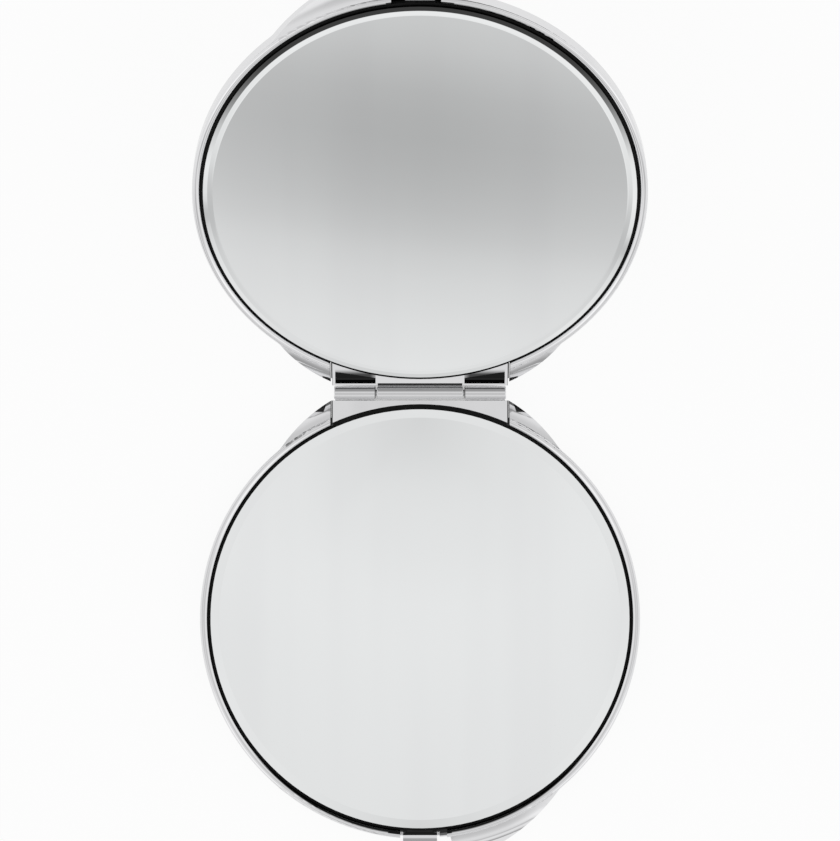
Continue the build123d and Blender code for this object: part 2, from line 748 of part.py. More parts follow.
def lid_catch():
    """A bent strip: a foot under the glass, out through the front notch, and a barbed hook."""
    deck = -LID.deck_top
    inner = CATCH_HOOK_INNER
    outer = inner + PAD_THICKNESS
    profile = Polyline(
        (-CATCH_FOOT_END, deck),
        (-outer, deck),
        (-outer, CATCH_TIP_RISE),
        (-inner, CATCH_TIP_RISE),
        (-CATCH_BARB_TIP, CATCH_TIP_RISE - CATCH_BARB_HEIGHT / 2),
        (-inner, CATCH_TIP_RISE - CATCH_BARB_HEIGHT),
        (-inner, deck + PAD_THICKNESS),
        (-CATCH_FOOT_END, deck + PAD_THICKNESS),
        close=True,
    )
    strip = extrude(Plane.YZ * make_face(profile), CATCH_HALF_WIDTH, both=True)
    bend = strip.edges().filter_by(Axis.X).group_by(Axis.Y)[0].sort_by(Axis.Z)[0]
    return fillet(bend, CATCH_BEND_RADIUS)


# Placing and writing


def on_base(piece):
    """Lift a piece from the half frame to the base."""
    return Pos(0, 0, BASE.height) * piece


def on_lid(piece):
    """Turn a piece from the half frame over the hinge to the open lid."""
    hinge = Pos(0, HINGE_REACH, AXIS_HEIGHT) * Rot(OPEN_TILT, 0, 0) * Rot(0, 0, 180)
    return hinge * Pos(0, -HINGE_REACH, -HALF_GAP) * piece


def main():
    """Build every node and write it to its own file."""
    nodes = {
        "base_shell": on_base(base_shell()),
        "base_tray": on_base(base_tray()),
        "base_mirror_pad": on_base(mirror_pad(BASE)),
        "base_mirror": on_base(mirror_glass(BASE)),
        "base_mirror_bead": on_base(mirror_bead(BASE)),
        "hinge_pin": on_base(hinge_pin()),
        "push_button": on_base(push_button()),
        "button_spring": on_base(button_spring()),
        "lid_shell": on_lid(lid_shell()),
        "lid_tray": on_lid(lid_tray()),
        "lid_mirror_pad": on_lid(catch_pad(LID)),
        "lid_mirror": on_lid(mirror_glass(LID)),
        "lid_mirror_bead": on_lid(mirror_bead(LID)),
        "lid_catch": on_lid(lid_catch()),
    }
    for number, place in enumerate(screw_places(), start=1):
        nodes[f"base_tray_screw_{number}"] = on_base(place * tray_screw(BASE))
        nodes[f"lid_tray_screw_{number}"] = on_lid(place * tray_screw(LID))
    os.makedirs("parts", exist_ok=True)
    for name, piece in nodes.items():
        export_step(piece, f"parts/{name}.step")


if __name__ == "__main__":
    main()
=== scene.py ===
import logging
import math
from dataclasses import dataclass
from enum import Enum
from typing import Any, Union

import bpy
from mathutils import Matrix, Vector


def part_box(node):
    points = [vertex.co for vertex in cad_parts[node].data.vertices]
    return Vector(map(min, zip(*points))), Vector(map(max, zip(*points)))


# Compact mirror, dressed: polished chrome halves, silvered glass, black beads and steel fittings.
# Metres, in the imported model's frame: origin under the base, +Y towards the hinge, +Z up.

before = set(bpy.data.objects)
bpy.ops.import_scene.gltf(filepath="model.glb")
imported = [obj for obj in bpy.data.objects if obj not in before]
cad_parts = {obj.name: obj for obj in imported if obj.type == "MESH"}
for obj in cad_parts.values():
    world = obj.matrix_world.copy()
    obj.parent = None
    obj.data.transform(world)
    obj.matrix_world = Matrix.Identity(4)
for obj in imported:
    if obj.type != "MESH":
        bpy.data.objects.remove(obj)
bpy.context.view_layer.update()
LOG = logging.getLogger("compact_mirror")

MM = 0.001
OPEN_TILT = math.radians(35)
# With a half laid flat, its rim's centre is this far from the hinge's axis and this far below it.
HINGE_REACH = 36.0 * MM
RIM_DROP = 0.15 * MM
HINGE_AXIS = (0.0, HINGE_REACH, 5.75 * MM)
BASE_CENTRE = (0.0, 0.0, HINGE_AXIS[2] - RIM_DROP)
LID_CENTRE = (
    0.0,
    HINGE_AXIS[1] + HINGE_REACH * math.cos(OPEN_TILT) + RIM_DROP * math.sin(OPEN_TILT),
    HINGE_AXIS[2] + HINGE_REACH * math.sin(OPEN_TILT) - RIM_DROP * math.cos(OPEN_TILT),
)

# Each ring of a bevel starts at a radius and adds its slope to the rings inside it.
BASE_BEVELS = ((32.0 * MM, 0.078),)
LID_BEVELS = ((31.85 * MM, 0.11), (32.65 * MM, 0.16))

SHADER_SAMPLES = 6
RAMP_RANGE = 2
ZENITH = 90
ABOVE_ZERO = 1e-6
WHITE = (1, 1, 1, 1)

Number = Union[int, float]
Place = tuple[float, float, float]
Colour = tuple[float, float, float, float]
# A step is where a smooth step is 0 and where it is 1.
Step = tuple[float, float]
# Levels are pairs of degrees above the horizon and the tent's light there.
Levels = tuple[tuple[float, float], ...]


class Side(Enum):
    """The two halves of the compact, by the name of the body that each rides on."""

    BASE = "base"
    LID = "lid"


class Wire:
    """A node's output socket that reads like a number in Python sums."""

    def __init__(self, graph: "Graph", socket: bpy.types.NodeSocket) -> None:
        """Wrap a socket.

        Args:
            graph: The graph that the socket's node is in.
            socket: The output socket.
        """
        self.graph = graph
        self.socket = socket

    def _math(self, operation: str, *terms: Union["Wire", Number]) -> "Wire":
        """Add one Math node.

        Args:
            operation: The Math node's operation.
            terms: Its inputs in order.

        Returns:
            The node's result.
        """
        inputs = dict(enumerate(terms))
        return self.graph.node("ShaderNodeMath", {"operation": operation}, inputs)

    def __add__(self, other: Union["Wire", Number]) -> "Wire":
        """self + other."""
        return self._math("ADD", self, other)

    def __radd__(self, other: Number) -> "Wire":
        """other + self."""
        return self._math("ADD", other, self)

    def __sub__(self, other: Union["Wire", Number]) -> "Wire":
        """self - other."""
        return self._math("SUBTRACT", self, other)

    def __rsub__(self, other: Number) -> "Wire":
        """other - self."""
        return self._math("SUBTRACT", other, self)

    def __mul__(self, other: Union["Wire", Number]) -> "Wire":
        """self * other."""
        return self._math("MULTIPLY", self, other)

    def __rmul__(self, other: Number) -> "Wire":
        """other * self."""
        return self._math("MULTIPLY", other, self)

    def __truediv__(self, other: Union["Wire", Number]) -> "Wire":
        """self / other."""
        return self._math("DIVIDE", self, other)

    def __rtruediv__(self, other: Number) -> "Wire":
        """other / self."""
        return self._math("DIVIDE", other, self)

    def __pow__(self, power: Union["Wire", Number]) -> "Wire":
        """self ** power."""
        return self._math("POWER", self, power)

    def __abs__(self) -> "Wire":
        """The distance from zero."""
        return self._math("ABSOLUTE", self)

    def arcsine(self) -> "Wire":
        """The angle in radians whose sine this is."""
        return self._math("ARCSINE", self)

    def larger(self, other: Union["Wire", Number]) -> "Wire":
        """The larger of the two."""
        return self._math("MAXIMUM", self, other)

    def ease(self, start: Number, end: Number) -> "Wire":
        """A smooth step.

        Args:
            start: Where the step is 0.
            end: Where the step is 1.

        Returns:
            The step's value, from 0 to 1.
        """
        if start > end:
            return 1 - self.ease(end, start)
        settings = {"interpolation_type": "SMOOTHSTEP"}
        inputs = {"Value": self, "From Min": start, "From Max": end}
        return self.graph.node("ShaderNodeMapRange", settings, inputs)


Input = Union[Wire, Number, tuple, str]


def distance(across: Wire, along: Wire) -> Wire:
    """How far a place is from the point that its two parts are measured from.

    Args:
        across: The place's first part.
        along: Its second part.

    Returns:
        The distance, in metres.
    """
    return (across * across + along * along) ** 0.5


@dataclass(frozen=True)
class Grain:
    """A noise that a finish is broken up by.

    Attributes:
        scale: Cells a metre.
        detail: Octaves.
        stretch: How much finer the cells are along each axis.
    """

    scale: float
    detail: float
    stretch: Place = (1, 1, 1)


class Graph:
    """A material's or the world's node tree."""

    def __init__(self, tree: bpy.types.NodeTree) -> None:
        """Take over a tree.

        Args:
            tree: The tree, which is emptied.
        """
        self.tree = tree
        self.tree.nodes.clear()

    def node(
        self,
        kind: str,
        settings: dict[str, Any] | None = None,
        inputs: dict[Union[str, int], Input] | None = None,
        output: Union[str, int] = 0,
    ) -> Wire:
        """Add any node.

        Args:
            kind: The node's type.
            settings: Its own settings, set first; stops is a ramp's list of (place, colour).
            inputs: Values or wires for its input sockets, by name or place.
            output: The output that is wanted.

        Returns:
            That output.
        """
        made = self.tree.nodes.new(kind)
        for name, value in (settings or {}).items():
            if name == "stops":
                self._set_stops(made.color_ramp, value)
            else:
                setattr(made, name, value)
        for name, value in (inputs or {}).items():
            socket = made.inputs[name]
            if isinstance(value, Wire):
                self.tree.links.new(value.socket, socket)
            else:
                socket.default_value = value
        return Wire(self, made.outputs[output] if made.outputs else None)

    @staticmethod
    def _set_stops(ramp: bpy.types.ColorRamp, stops: list[tuple[float, Colour]]) -> None:
        """Give a colour ramp its stops.

        Args:
            ramp: The ramp.
            stops: Pairs of place and RGBA colour, at least two.
        """
        while len(ramp.elements) < len(stops):
            ramp.elements.new(1)
        for element, (place, colour) in zip(ramp.elements, stops):
            element.position = place
            element.color = colour

    def curve(self, height: Wire, levels: Levels) -> Wire:
        """A level that follows the height above the horizon.

        Args:
            height: 0 at the horizon and 1 at the zenith.
            levels: The levels, each at most RAMP_RANGE, since a ramp's colours end at 1.

        Returns:
            The level.
        """
        greys = [(degrees / ZENITH, level / RAMP_RANGE) for degrees, level in levels]
        stops = [(place, (grey, grey, grey, 1)) for place, grey in greys]
        return self.node("ShaderNodeValToRGB", {"stops": stops}, {0: height}) * RAMP_RANGE

    def mix(self, share: Input, first: Input, second: Input) -> Wire:
        """Mix two colours, by the places of a Mix node's sockets, whose names aren't their own.

        Args:
            share: How much of the second.
            first: The first colour.
            second: The second colour.

        Returns:
            The mixed colour.
        """
        inputs = {0: share, 6: first, 7: second}
        return self.node("ShaderNodeMix", {"data_type": "RGBA"}, inputs, 2)

    def blend(self, share: Input, first: Wire, second: Wire) -> Wire:
        """Mix two directions.

        Args:
            share: How much of the second.
            first: The first direction.
            second: The second direction.

        Returns:
            The mixed direction.
        """
        inputs = {0: share, 4: first, 5: second}
        return self.node("ShaderNodeMix", {"data_type": "VECTOR"}, inputs, 1)

    def turned(self, parts: tuple[Wire, Wire, Wire], tilt: float) -> Wire:
        """A direction on a piece laid flat, as it stands in the world.

        Args:
            parts: The direction's X, Y and Z.
            tilt: How far the piece is turned about X, in radians.

        Returns:
            The direction in the world.
        """
        flat = self.node("ShaderNodeCombineXYZ", None, dict(enumerate(parts)))
        inputs = {"Vector": flat, "Rotation": (tilt, 0, 0)}
        turned = self.node("ShaderNodeMapping", {"vector_type": "VECTOR"}, inputs)
        settings = {"vector_type": "NORMAL", "convert_from": "OBJECT", "convert_to": "WORLD"}
        return self.node("ShaderNodeVectorTransform", settings, {0: turned})

    def noise(self, place: Wire, grain: Grain) -> Wire:
        """Noise on a place in the object.

        Args:
            place: The coordinates.
            grain: What the noise is like.

        Returns:
            The noise, from 0 to 1.
        """
        spread = self.node("ShaderNodeMapping", None, {"Vector": place, "Scale": grain.stretch})
        inputs = {"Vector": spread, "Scale": grain.scale, "Detail": grain.detail}
        return self.node("ShaderNodeTexNoise", None, inputs, "Fac")

    def object_place(self) -> Wire:
        """The place on the object, in metres."""
        return self.node("ShaderNodeTexCoord", None, None, "Object")

    def bump(self, height: Wire, rise: float = 1.0, normal: Wire | None = None) -> Wire:
        """A bumped normal.

        Args:
            height: The height.
            rise: How far in metres a height of 1 stands out.
            normal: The normal that is bumped, where it isn't the surface's own.

        Returns:
            The normal.
        """
        inputs = {"Height": height, "Distance": rise}
        if normal:
            inputs["Normal"] = normal
        return self.node("ShaderNodeBump", None, inputs)

    def surface_normal(self) -> Wire:
        """The mesh's own shading normal, in the world's directions."""
        return self.node("ShaderNodeNewGeometry", None, None, "Normal")

    def soft_edges(self, radius: float) -> Wire:
        """A normal that turns round each sharp edge.

        Args:
            radius: The edge's radius in metres.

        Returns:
            The normal.
        """
        return self.node("ShaderNodeBevel", {"samples": SHADER_SAMPLES}, {"Radius": radius})

    def openness(self, reach: float) -> Wire:
        """How open a place lies.

        Args:
            reach: How near in metres another surface has to be to close it in.

        Returns:
            1 in the open and near 0 in a narrow crease.
        """
        settings = {"samples": SHADER_SAMPLES}
        return self.node("ShaderNodeAmbientOcclusion", settings, {"Distance": reach}, "AO")

    def split(self, vector: Wire) -> tuple[Wire, Wire, Wire]:
        """The three parts of a vector.

        Args:
            vector: The vector.

        Returns:
            Its X, Y and Z.
        """
        return tuple(self.node("ShaderNodeSeparateXYZ", None, {0: vector}, axis) for axis in "XYZ")

    def laid_flat(self, place: Wire, centre: Place, tilt: float) -> tuple[Wire, Wire, Wire]:
        """A place as measured from a point on a tilted piece, with the piece laid flat.

        Args:
            place: The coordinates.
            centre: The point.
            tilt: How far the piece is turned about X, in radians.

        Returns:
            The place across, along and above the piece, in metres.
        """
        apart = {0: place, 1: centre}
        offset = self.node("ShaderNodeVectorMath", {"operation": "SUBTRACT"}, apart)
        inputs = {"Vector": offset, "Rotation": (-tilt, 0, 0)}
        return self.split(self.node("ShaderNodeMapping", {"vector_type": "VECTOR"}, inputs))


@dataclass(frozen=True)
class Finish:
    """What every finish has: a name and a way to make its material."""

    name: str

    def material(self) -> bpy.types.Material:
        """Make the material, or find the one already made.

        Returns:
            The material.
        """
        found = bpy.data.materials.get(self.name)
        if found:
            return found
        made = bpy.data.materials.new(self.name)
        made.use_nodes = True
        graph = Graph(made.node_tree)
        surface = graph.node("ShaderNodeBsdfPrincipled", None, self.sockets(graph))
        graph.node("ShaderNodeOutputMaterial", None, {"Surface": surface})
        return made

    def sockets(self, graph: Graph) -> dict[str, Input]:
        """The shader's inputs.

        Args:
            graph: The material's graph.

        Returns:
            Values and wires by socket name.
        """
        raise NotImplementedError


@dataclass(frozen=True)
class Chrome(Finish):
    """Polished chrome plate with a faint waviness, handling haze, hairlines and painted shade in
    its creases.

    Attributes:
        colour: The clean plate.
        worn_colour: The plate under full haze.
        crease_colour: The painted shade's colour, for the plate where no light comes back.
        crease_reach: How near another surface has to be for shade to be painted on the plate.
        crease_openness: How open a place is where the painted shade begins, and where it is full.
        roughness: The clean plate's roughness.
        patches: Where hands have left a haze.
        patch_step: How much of the patches is hazy.
        hairs: The fine wiping lines that the haze is seen in.
        hair_step: How much of the lines is hazy.
        haze_roughness: How much rougher full haze is.
        haze_wear: How much of the worn colour full haze has.
        waves: The plate's waviness.
        wave_height: How high the waves are.
        edge_radius: How round the sharp edges look, or 0 for as they are.
    """

    colour: Colour = (0.80, 0.80, 0.81, 1)
    worn_colour: Colour = (0.74, 0.74, 0.75, 1)
    crease_colour: Colour = (0.03, 0.03, 0.03, 1)
    crease_reach: float = 2.0 * MM
    crease_openness: Step = (0.36, 0.16)
    roughness: float = 0.035
    patches: Grain = Grain(55, 3)
    patch_step: Step = (0.52, 0.72)
    hairs: Grain = Grain(900, 2, (1, 0.06, 1))
    hair_step: Step = (0.35, 0.75)
    haze_roughness: float = 0.05
    haze_wear: float = 0.5
    waves: Grain = Grain(160, 1)
    wave_height: float = 0.02 * MM
    edge_radius: float = 0.0

    def darkness(self, graph: Graph, place: Wire) -> Wire:
        """How much shade is painted on the plate.

        Args:
            graph: The material's graph.
            place: The coordinates; not used here.

        Returns:
            0 on clean plate and 1 where shade is painted in full, as where no light comes back.
        """
        # Painted crease shade: the plate darkens where ambient occlusion finds it closed in.
        return graph.openness(self.crease_reach).ease(*self.crease_openness)

    def normal(self, graph: Graph, place: Wire) -> Wire | None:
        """The normal under the waviness.

        Args:
            graph: The material's graph.
            place: The coordinates; not used here.

        Returns:
            The normal, or nothing for the mesh's own.
        """
        return graph.soft_edges(self.edge_radius) if self.edge_radius else None

    def sockets(self, graph: Graph) -> dict[str, Input]:
        """The shader's inputs."""
        place = graph.object_place()
        patches = graph.noise(place, self.patches).ease(*self.patch_step)
        haze = patches * graph.noise(place, self.hairs).ease(*self.hair_step)
        plate = graph.mix(haze * self.haze_wear, self.colour, self.worn_colour)
        waves = graph.noise(place, self.waves)
        return {
            # Painted shade: the plate is mixed towards crease_colour by the darkness mask.
            "Base Color": graph.mix(self.darkness(graph, place), plate, self.crease_colour),
            "Metallic": 1.0,
            "Roughness": haze * self.haze_roughness + self.roughness,
            "Normal": graph.bump(waves, self.wave_height, self.normal(graph, place)),
        }


@dataclass(frozen=True)
class RimmedChrome(Chrome):
    """Chrome for a shell: even over the two rounds of its rim, with shade painted where its wall
    hides light.

    Every step is measured from the rim's centre with the shell laid flat: radius and across from
    the middle, along towards the catch, and above the rim.

    Attributes:
        centre: The rim's centre.
        tilt: How far the shell is turned about X, in radians.
        catch_way: 1 where the catch is at the +Y end and -1 at the -Y end.
        rounds: The rim's outer and inner round: its middle's radius, its size and its way.
        play: How far off a round a place may be and still have its normal.
        lean_step: Where a round's normal takes over from the rim's flat top.
        rise_step: Where it gives way to the walls.
        ring_shade_radius: The ring of painted shade inside the rim.
        ring_shade_along: Where it begins on the catch's side.
        ring_shade_growth: How much wider it gets there.
        ring_shade_swell: Where it does so.
        front_along: Where the front notch begins.
        notch_above: The painted shade of the front notch, below its upper edge.
        notch_radius: The same, inside the rim's outer round.
        notch_darkness: How dark the notch's painted shade is.
        deep_across: The painted black shade of the front notch's floor, between its sides.
        deep_radius: The same, inside the rim.
        deep_above: The same, above the shell's outside.
        hinge_along: Where the hinge's side begins.
        seam_across: The painted shade in the seams beside the hinge block.
        seam_darkness: How dark they are.
        shade_above: How far down the shaded ring, the notch and the seams are painted dark.
        wing_across: The wings beside the hinge, which get no painted crease shade.
        wing_radius: The same, outside the rim.
        corner_start: Where the slanted edge of the wings' painted dark corners begins.
        corner_width: How far out it begins.
        corner_slope: How far out it goes for each step along.
        corner_edge: How soft it is.
        corner_along: How far the corners go along.
        corner_above: How far down they go.
        corner_darkness: How dark the painted corners are, or 0 for none.
    """

    centre: Place = (0, 0, 0)
    tilt: float = 0.0
    catch_way: int = 1
    rounds: tuple = ((34.54 * MM, 0.46 * MM, 1), (34.50 * MM, 0.70 * MM, -1))
    play: float = 0.04 * MM
    lean_step: Step = (0, 0.01)
    rise_step: Step = (0.1, 0.2)
    ring_shade_radius: Step = (34.12 * MM, 33.92 * MM)
    ring_shade_along: Step = (20 * MM, 25 * MM)
    ring_shade_growth: float = 0.25 * MM
    ring_shade_swell: Step = (22 * MM, 33 * MM)
    front_along: Step = (33.0 * MM, 33.3 * MM)
    notch_above: Step = (-1.0 * MM, -1.2 * MM)
    notch_radius: Step = (34.85 * MM, 34.75 * MM)
    notch_darkness: float = 0.85
    deep_across: Step = (5.2 * MM, 5.0 * MM)
    deep_radius: Step = (34.45 * MM, 34.40 * MM)
    deep_above: Step = (-4.5 * MM, -4.4 * MM)
    hinge_along: Step = (-20 * MM, -22 * MM)
    seam_across: Step = (14.30 * MM, 14.24 * MM)
    seam_darkness: float = 0.9
    shade_above: Step = (-2.6 * MM, -2.4 * MM)
    wing_across: Step = (14.5 * MM, 14.8 * MM)
    wing_radius: Step = (34.4 * MM, 34.6 * MM)
    corner_start: float = -34.5 * MM
    corner_width: float = 14.75 * MM
    corner_slope: float = 0.36
    corner_edge: float = 0.06 * MM
    corner_along: Step = (-32.85 * MM, -32.95 * MM)
    corner_above: Step = (-2.4 * MM, -2.2 * MM)
    corner_darkness: float = 0.0

    def darkness(self, graph: Graph, place: Wire) -> Wire:
        """How much shade is painted on the plate."""
        across, along, above = graph.laid_flat(place, self.centre, self.tilt)
        radius = distance(across, along)
        across, along = abs(across), along * self.catch_way
        # Painted shade: a ring inside the rim on the catch's side, the front notch, the seams
        # beside the hinge block and the wings' corners.
        front, hinge = along.ease(*self.front_along), along.ease(*self.hinge_along)
        swell = along.ease(*self.ring_shade_swell) * self.ring_shade_growth
        ring_shade = (radius - swell).ease(*self.ring_shade_radius) * along.ease(*self.ring_shade_along)
        notch = above.ease(*self.notch_above) * radius.ease(*self.notch_radius)
        notch = notch * front * self.notch_darkness
        seam = hinge * across.ease(*self.seam_across) * self.seam_darkness
        shade = ring_shade.larger(notch).larger(seam) * above.ease(*self.shade_above)
        if self.corner_darkness:
            slant = (along - self.corner_start) * self.corner_slope + self.corner_width
            corner = (across - slant).ease(0, self.corner_edge) * along.ease(*self.corner_along)
            corner = corner * above.ease(*self.corner_above) * self.corner_darkness
            shade = shade.larger(corner)
        # Painted black shade on the front notch's floor; no painted crease shade on the wings.
        deep = across.ease(*self.deep_across) * radius.ease(*self.deep_radius)
        deep = deep * front * above.ease(*self.deep_above)
        wing = hinge * across.ease(*self.wing_across) * radius.ease(*self.wing_radius)
        creases = super().darkness(graph, place) * (1 - wing)
        return creases.larger(shade).larger(deep)

    def normal(self, graph: Graph, place: Wire) -> Wire:
        """The normal under the waviness."""
        across, along, above = graph.laid_flat(place, self.centre, self.tilt)
        radius = distance(across, along)
        own = graph.surface_normal()
        for ring, size, way in self.rounds:
            lean = ((radius - ring) * (way / size)).larger(0)
            rise = (1 - lean * lean).larger(0) ** 0.5
            off = abs(above + size - rise * size)
            share = off.ease(self.play, self.play / 2)
            share = share * lean.ease(*self.lean_step) * rise.ease(*self.rise_step)
            parts = (across / radius * lean * way, along / radius * lean * way, rise)
            own = graph.blend(share, own, graph.turned(parts, self.tilt))
        return own


@dataclass(frozen=True)
class TrayChrome(Chrome):
    """Chrome for a tray, with shade painted down the seams at the ends of its hinge block and its
    knuckles.

    Every step is measured from the hinge's axis with the tray laid flat.

    Attributes:
        tilt: How far the tray is turned about X, in radians.
        seam_across: The seams at the block's ends, which go on outwards, where shade is painted.
        seam_along: How far they go along, to either side.
        knuckle_ends: The gap between the middle and the outer knuckles, where shade is painted.
        knuckle_radius: The knuckles' radius.
        thin: How wide a sharp edge of a painted dark patch is.
        shade_above: How far down the painted dark patches go.
    """

    tilt: float = 0.0
    seam_across: Step = (13.84 * MM, 13.90 * MM)
    seam_along: Step = (7 * MM, 6 * MM)
    seam_darkness: float = 0.9
    knuckle_ends: tuple = (6.87 * MM, 7.18 * MM)
    knuckle_radius: float = 1.05 * MM
    thin: float = 0.02 * MM
    shade_above: Step = (-2.4 * MM, -2.2 * MM)

    def shade(self, across: Wire, along: Wire, above: Wire) -> Wire:
        """How much shade is painted on the plate at its top, by the place from the hinge's axis.

        Args:
            across: How far to either side.
            along: How far away from the base's centre, so on the lid it is towards the lid's.
            above: How far above the axis; not used here.

        Returns:
            0 on clean plate and 1 where no light comes back.
        """
        # Painted shade down the seams at the block's ends and in the gaps at the knuckles' ends.
        seam = across.ease(*self.seam_across) * abs(along).ease(*self.seam_along)
        low, high = self.knuckle_ends
        end = across.ease(low - self.thin, low) * across.ease(high + self.thin, high)
        end = end * abs(along).ease(self.knuckle_radius + self.thin, self.knuckle_radius)
        return seam.larger(end) * self.seam_darkness

    def darkness(self, graph: Graph, place: Wire) -> Wire:
        """How much shade is painted on the plate."""
        across, along, above = graph.laid_flat(place, HINGE_AXIS, self.tilt)
        shade = self.shade(abs(across), along, above) * above.ease(*self.shade_above)
        return super().darkness(graph, place).larger(shade)


@dataclass(frozen=True)
class PocketedChrome(TrayChrome):
    """Chrome with black shade painted in its pockets beside the middle knuckle and its groove
    behind it.

    Attributes:
        half_widths: Where a pocket begins and ends, across.
        reach: Where it begins and ends, along.
        face: How high the block's face lies, which a pocket sinks into.
        fade: How far the painted shade fades out over the block's face, to either side of a
            pocket's end.
        soft: How wide a soft edge of a painted dark patch is.
        groove_above: The groove's two edges in height.
        groove_along: Its two edges along.
    """

    half_widths: tuple = (7.05 * MM, 13.43 * MM)
    reach: tuple = (1.5 * MM, 3.9 * MM)
    face: float = -0.15 * MM
    fade: float = 0.6 * MM
    fade_darkness: float = 0.95
    soft: float = 1.0 * MM
    groove_above: tuple = ((-0.28 * MM, -0.34 * MM), (-0.9 * MM, -0.8 * MM))
    groove_along: tuple = ((1.12 * MM, 1.18 * MM), (1.65 * MM, 1.55 * MM))

    def shade(self, across: Wire, along: Wire, above: Wire) -> Wire:
        """How much shade is painted on the plate at its top, by the place from the hinge's axis."""
        low, high = self.half_widths
        near, far = self.reach
        thin, soft = self.thin, self.soft
        # Painted black shade in the pockets, fading out over the block's face, and in the groove
        # behind the middle knuckle.
        between = across.ease(low - thin, low) * across.ease(high + thin, high)
        sunk = above.ease(self.face - thin / 2, self.face - thin / 2 - thin)
        pocket = sunk * along.ease(near, near + thin) * along.ease(far + soft, far)
        edge = along.ease(far + self.fade, far - self.fade) * along.ease(near, near + soft)
        edge = edge * across.ease(low - soft, low + soft) * self.fade_darkness
        groove = across.ease(low + thin, low)
        for height, length in zip(self.groove_above, self.groove_along):
            groove = groove * above.ease(*height) * along.ease(*length)
        shade = super().shade(across, along, above)
        return shade.larger(between * pocket.larger(edge)).larger(groove)


@dataclass(frozen=True)
class ButtonChrome(Chrome):
    """Chrome for the push button, with shade painted inside the case and painted darker down its
    front.

    Attributes:
        inside_y: Where the case's wall begins to hide the button.
        cap_height: How high the button is painted dark there.
        front_y: Where the button's front begins.
        front_height: Where the front is painted darker, from the cap down.
    """

    inside_y: Step = (-34.60 * MM, -34.45 * MM)
    cap_height: Step = (5.25 * MM, 4.90 * MM)
    front_y: Step = (-34.75 * MM, -35.00 * MM)
    front_height: Step = (3.6 * MM, 4.0 * MM)
    front_darkness: float = 0.5

    def darkness(self, graph: Graph, place: Wire) -> Wire:
        """How much shade is painted on the plate."""
        _, along, height = graph.split(place)
        # Painted shade where the case's wall hides the button, and painted darkening down its
        # front.
        shade = along.ease(*self.inside_y) * height.ease(*self.cap_height)
        front = along.ease(*self.front_y) * height.ease(*self.front_height) * self.front_darkness
        return super().darkness(graph, place).larger(shade.larger(front))


@dataclass(frozen=True)
class Silvered(Finish):
    """Silvered glass with faint wiping streaks and a painted dark reflection band; its bevel tips
    the silver's image inwards.

    Attributes:
        centre: The glass's centre.
        tilt: How far the glass is turned about X, in radians.
        bevels: Pairs of a radius and the slope that is added outside it.
        band_start: The radius that a painted dark reflection band begins at, or 0 for none.
        band_soft: Half the width of the band's inner edge.
        band_along: How the band comes in on the +Y side of the centre.
    """

    centre: Place = (0, 0, 0)
    tilt: float = 0.0
    bevels: tuple = ()
    band_start: float = 0.0
    band_soft: float = 0.05 * MM
    band_along: Step = (4 * MM, 25 * MM)
    band_colour: Colour = (0.115, 0.115, 0.115, 1)
    colour: Colour = (0.885, 0.898, 0.900, 1)
    streak_colour: Colour = (0.865, 0.876, 0.880, 1)
    streaks: Grain = Grain(90, 2, (1, 0.05, 0.05))
    streak_step: Step = (0.4, 0.7)
    roughness: float = 0.008
    streak_roughness: float = 0.01

    def sockets(self, graph: Graph) -> dict[str, Input]:
        """The shader's inputs."""
        place = graph.object_place()
        streaks = graph.noise(place, self.streaks)
        across, along, _ = graph.laid_flat(place, self.centre, self.tilt)
        radius = distance(across, along)
        silver = graph.mix(streaks.ease(*self.streak_step), self.colour, self.streak_colour)
        # Painted dark reflection: a dark outer band on the glass's bevel, coming in on the +Y side.
        if self.band_start:
            band = (radius - self.band_start).ease(-self.band_soft, self.band_soft)
            silver = graph.mix(band * along.ease(*self.band_along), silver, self.band_colour)
        height = sum((radius - start).larger(0) * slope for start, slope in self.bevels)
        return {
            "Base Color": silver,
            "Metallic": 1.0,
            "Roughness": streaks * self.streak_roughness + self.roughness,
            "Normal": graph.bump(height),
        }


@dataclass(frozen=True)
class Rubber(Finish):
    """Black satin rubber bead with a little dust."""

    colour: Colour = (0.004, 0.004, 0.004, 1)
    dust_colour: Colour = (0.009, 0.009, 0.009, 1)
    dust: Grain = Grain(300, 2)
    dust_step: Step = (0.5, 0.8)
    skin: Grain = Grain(2500, 3)
    skin_height: float = 0.01 * MM
    roughness: float = 0.5
    skin_roughness: float = 0.2
    specular: float = 0.15

    def sockets(self, graph: Graph) -> dict[str, Input]:
        """The shader's inputs."""
        place = graph.object_place()
        skin = graph.noise(place, self.skin)
        dust = graph.noise(place, self.dust).ease(*self.dust_step)
        return {
            "Base Color": graph.mix(dust, self.colour, self.dust_colour),
            "Roughness": skin * self.skin_roughness + self.roughness,
            "Specular IOR Level": self.specular,
            "Normal": graph.bump(skin, self.skin_height),
        }


@dataclass(frozen=True)
class Foam(Finish):
    """Black closed-cell foam pad."""

    colour: Colour = (0.03, 0.03, 0.032, 1)
    cell_colour: Colour = (0.05, 0.05, 0.053, 1)
    cells: Grain = Grain(4000, 2)
    cell_height: float = 0.05 * MM
    roughness: float = 0.85
    cell_roughness: float = 0.1

    def sockets(self, graph: Graph) -> dict[str, Input]:
        """The shader's inputs."""
        cells = graph.noise(graph.object_place(), self.cells)
        return {
            "Base Color": graph.mix(cells, self.colour, self.cell_colour),
            "Roughness": cells * self.cell_roughness + self.roughness,
            "Normal": graph.bump(cells, self.cell_height),
        }


